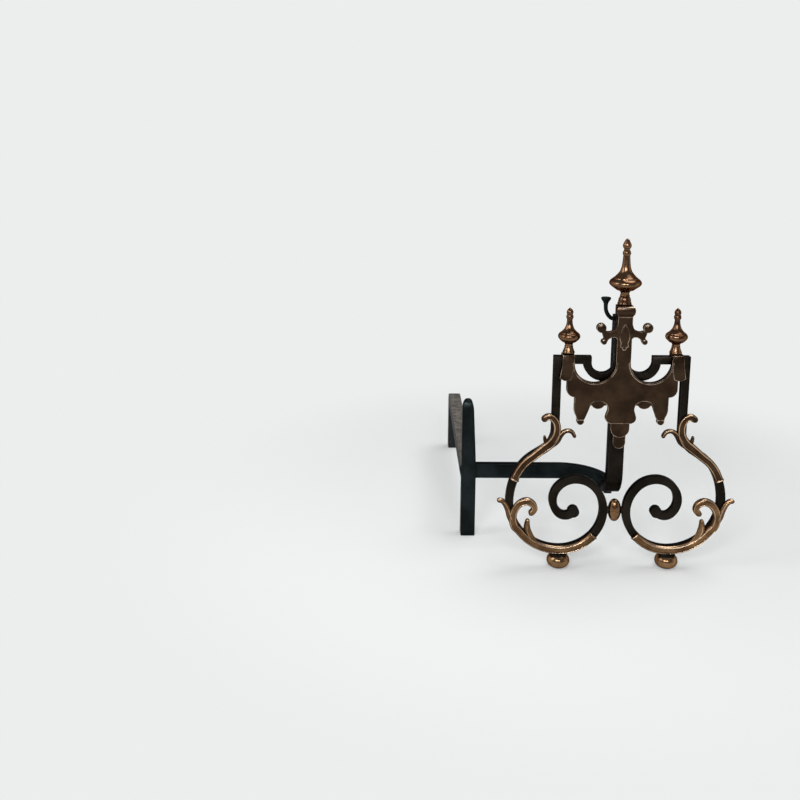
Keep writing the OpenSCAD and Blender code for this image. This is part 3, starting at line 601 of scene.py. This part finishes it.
AXIS = (0.027, -0.2957)  # x and y of the andiron's middle at the bars
BAR_HALF = 0.00635
LEAF_RISE = 0.0048  # a leaf's highest line over the bar's face
SHEATH_W = 0.0139
BEND_TOP = (-0.1039, 0.2405)  # x from the middle and z where the left bar starts to bend
# radius in mm and turn in degrees of each bend from there; a straight where the turn is 0
BAR_BENDS = [(40, -57), (20.1, 0), (71, 30), (114, 27), (85, 45), (85, 45), (74, 45), (67, 45)]

# where a leaf's middle lies on the bar: the bend, and how far along it
UPPER_STOPS = [(3, 0.2), (3, 0), (2, 0.66), (2, 0.33), (2, 0)]
LOWER_STOPS = [(7, 0.05), (6, 0.8), (6, 0.55), (6, 0.3), (6, 0), (5, 0.7), (5, 0.4), (5, 0.1),
               (4, 0.8)]
# and where it leaves the bar: x and z from BEND_TOP and the width there, all in mm
UPPER_CURL = [(-17.6, -29.9, 15.4), (-7.7, -21.9, 16.4), (-0.5, -11.5, 15), (2.3, 0.5, 13.4),
              (1, 12, 12.4), (-4.9, 21.3, 11.6), (-12.3, 23.9, 11.2), (-18.3, 20.3, 11)]
UPPER_LEAFLET = [(-6.7, -26.1, 8.6), (1.9, -18.1, 11), (7.3, -8.9, 10), (13.5, -2.1, 8),
                 (20.9, 0.1, 7), (27.5, -2.7, 6.6), (31.1, -8.9, 6)]
LOWER_CURL = [(-62.7, -166.4, 14), (-66.1, -152.4, 13), (-63.7, -138.8, 12.4),
              (-55.5, -127.2, 13), (-43.9, -122.8, 13), (-33.7, -127.8, 11.6),
              (-30.3, -136.8, 10), (-35.3, -143, 9.8)]
LOWER_TIP = [(-64.5, -163, 9), (-70.5, -149.8, 11), (-74.1, -138.4, 10), (-78.5, -128.8, 9),
             (-83.7, -122.4, 8.2)]
LOWER_LEAFLET = [(-30.1, -192.8, 11), (-37.5, -183, 13), (-41.3, -173, 12), (-41.9, -163.6, 9.4)]
LINE_STEPS = 4


def bent(at, radius, turn):
    """Where an arc, or a straight where turn is 0, leads from x, z and heading."""
    x, z, way = at
    if not turn:
        return x + radius * math.cos(way), z + radius * math.sin(way), way
    side, end = math.copysign(radius, turn), way + math.radians(turn)
    x += side * (math.sin(end) - math.sin(way))
    z += side * (math.cos(way) - math.cos(end))
    return x, z, end


def bar_point(bend, share):
    """A point on the left bar, as x from the middle, z and the width of the sheath."""
    at = (*BEND_TOP, -math.pi / 2)
    for radius, turn in BAR_BENDS[:bend]:
        at = bent(at, radius / 1000, turn)
    radius, turn = BAR_BENDS[bend]
    if share:
        at = bent(at, radius / 1000, turn * share)
    return Vector((at[0], at[1], SHEATH_W))


def lip_line(bend, share):
    """Straight across the bar, where a leaf's sheath ends in a lip."""
    mid, on = bar_point(bend, share).to_2d(), bar_point(bend, share + 0.02).to_2d()
    way = (on - mid).normalized() * SHEATH_W / 2
    return [Vector((mid.x - way.y * k, mid.y + way.x * k, 0)) for k in (-0.75, 0, 0.75)]


def leaf_point(x, z, width):
    return Vector((BEND_TOP[0] + x / 1000, BEND_TOP[1] + z / 1000, width / 1000))


def rounded(points):
    """A smooth line that passes through all the points."""
    line = []
    last = len(points) - 1
    for i in range(last):
        a, b = points[max(i - 1, 0)], points[i]
        c, d = points[i + 1], points[min(i + 2, last)]
        for k in range(LINE_STEPS):
            t = k / LINE_STEPS
            line.append(b + 0.5 * t * (c - a) + t * t * (a - 2.5 * b + 2 * c - 0.5 * d)
                        + t ** 3 * 0.5 * (3 * b - a - 3 * c + d))
    return line + [points[-1]]


def add_bead(curve, points, mirror, across, rise, thick):
    """A thin bead along a leaf that thins out at both ends. It lies the share across of half
    the leaf's width from its middle, and the share rise of LEAF_RISE over the bar."""
    line = rounded(points)
    last = len(line) - 1
    spline = curve.splines.new("POLY")
    spline.points.add(last)
    y = AXIS[1] - BAR_HALF - rise * LEAF_RISE
    for i, p in enumerate(line):
        way = (line[min(i + 1, last)] - line[max(i - 1, 0)]).to_2d().normalized()
        x, z = p.x - way.y * across * p.z / 2, p.y + way.x * across * p.z / 2
        spline.points[i].co = (AXIS[0] + mirror * x, y, z, 1)
        spline.points[i].radius = thick * min(1, 0.3 + 6 * i / last, 0.3 + 4 * (last - i) / last)


def leaf_beads(name, mirror, beads):
    curve = bpy.data.curves.new(name, "CURVE")
    curve.dimensions = "3D"
    curve.bevel_depth = 1.0
    curve.bevel_resolution = 3
    curve.use_fill_caps = True
    for points, across, rise, thick in beads:
        add_bead(curve, points, mirror, across, rise, thick)
    curve.materials.append(PAINTED_HIGHLIGHT_BEAD)
    piece = bpy.data.objects.new(name, curve)
    scene.collection.objects.link(piece)
    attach(piece, "root")


upper_line = [bar_point(*stop) for stop in UPPER_STOPS] + [leaf_point(*p) for p in UPPER_CURL]
lower_line = [bar_point(*stop) for stop in LOWER_STOPS] + [leaf_point(*p) for p in LOWER_CURL]
upper_leaflet = [leaf_point(*p) for p in UPPER_LEAFLET]
lower_tip = [leaf_point(*p) for p in LOWER_TIP]
lower_leaflet = [leaf_point(*p) for p in LOWER_LEAFLET]
# each bead's line, its share across, its rise, and half its thickness in metres
UPPER_BEADS = [(upper_line, 0.62, 0.8, 0.0012), (upper_line, -0.66, 0.76, 0.0009),
               (upper_leaflet, 0.4, 0.78, 0.0009), (lip_line(3, 0.26), 0, 1.03, 0.0012)]
LOWER_BEADS = [(lower_line, -0.62, 0.8, 0.0012), (lower_line, 0.7, 0.72, 0.0008),
               (lower_tip, -0.2, 0.8, 0.0009), (lower_leaflet, 0.1, 0.95, 0.0009),
               (lip_line(7, 0.105), 0, 1.03, 0.0012)]
for side, mirror in (("left", 1), ("right", -1)):
    dress(side + "_upper_leaf", UPPER_LEAF, arris=0.0006)
    dress(side + "_lower_leaf", LOWER_LEAF, arris=0.0006)
    leaf_beads(side + "_upper_leaf_veins", mirror, UPPER_BEADS)
    leaf_beads(side + "_lower_leaf_veins", mirror, LOWER_BEADS)

# ---- Hook and screws ----------------------------------------------------------------
# A round iron hook at the back of the top holds a hearth tool. Plain iron screws hold
# the crest plate and the leaves from behind.
dress("tool_hook", COOL_BLACK)
for name in ("plate_screws", "leaf_screws"):
    dress(name, WAXED_BLACK)
